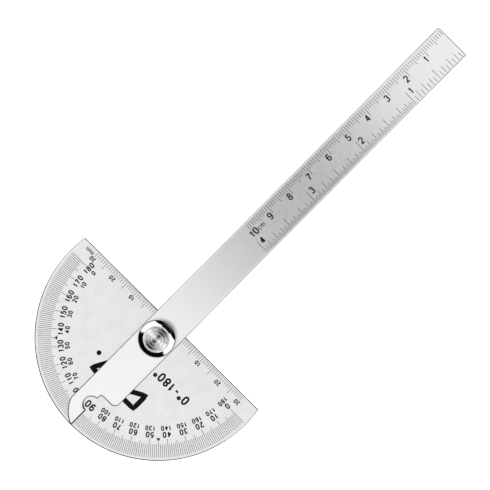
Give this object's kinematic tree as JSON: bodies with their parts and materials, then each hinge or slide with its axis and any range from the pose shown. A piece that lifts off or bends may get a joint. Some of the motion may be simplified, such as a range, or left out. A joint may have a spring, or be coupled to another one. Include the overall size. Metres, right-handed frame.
{
  "type": "pivoting-arm protractor",
  "caption": "Half-round steel protractor head with a ruler arm that swings on a flush stud and is locked by a round thumb nut.",
  "frame": {"origin": "on the pivot axis, in the plane of the back face", "axes": "+Z out of the scale face, +Y along the ruler arm at the 90 degree reading, -Y to the rim of the head plate"},
  "size_m": [0.09, 0.1965, 0.0084],
  "materials": {
    "plate_steel": "matte satin stainless steel sheet",
    "stud_steel": "turned bright steel",
    "nut_chrome": "polished chrome with a turned face",
    "slip_washer_nylon": "natural nylon",
    "mark_fill": "black enamel filled into etched lines"
  },
  "bodies": {
    "head": {"protractor_head": "plate_steel", "pivot_stud": "stud_steel", "slip_washer": "slip_washer_nylon", "degree_marks": "mark_fill", "edge_scale_marks": "mark_fill"},
    "arm": {"ruler_arm": "plate_steel", "centimetre_marks": "mark_fill", "inch_marks": "mark_fill"},
    "washer": {"clamp_washer": "stud_steel"},
    "nut": {"thumb_nut": "nut_chrome"}
  },
  "joints": [
    {"name": "arm_swing", "type": "hinge", "parent": "head", "child": "arm", "pos_m": [0, 0, 0.0017], "axis": [0, 0, 1], "continuous": true},
    {"name": "nut_lift", "type": "slide", "parent": "head", "child": "washer", "axis": [0, 0, 1], "range_m": [0, 0.0014]},
    {"name": "nut_turn", "type": "hinge", "parent": "washer", "child": "nut", "pos_m": [0, 0, 0.005], "axis": [0, 0, 1], "range_deg": [0, 720]}
  ],
  "couplings": [
    {"joint": "nut_lift", "follows": "nut_turn", "m_per_rad": 0.0001114}
  ]
}
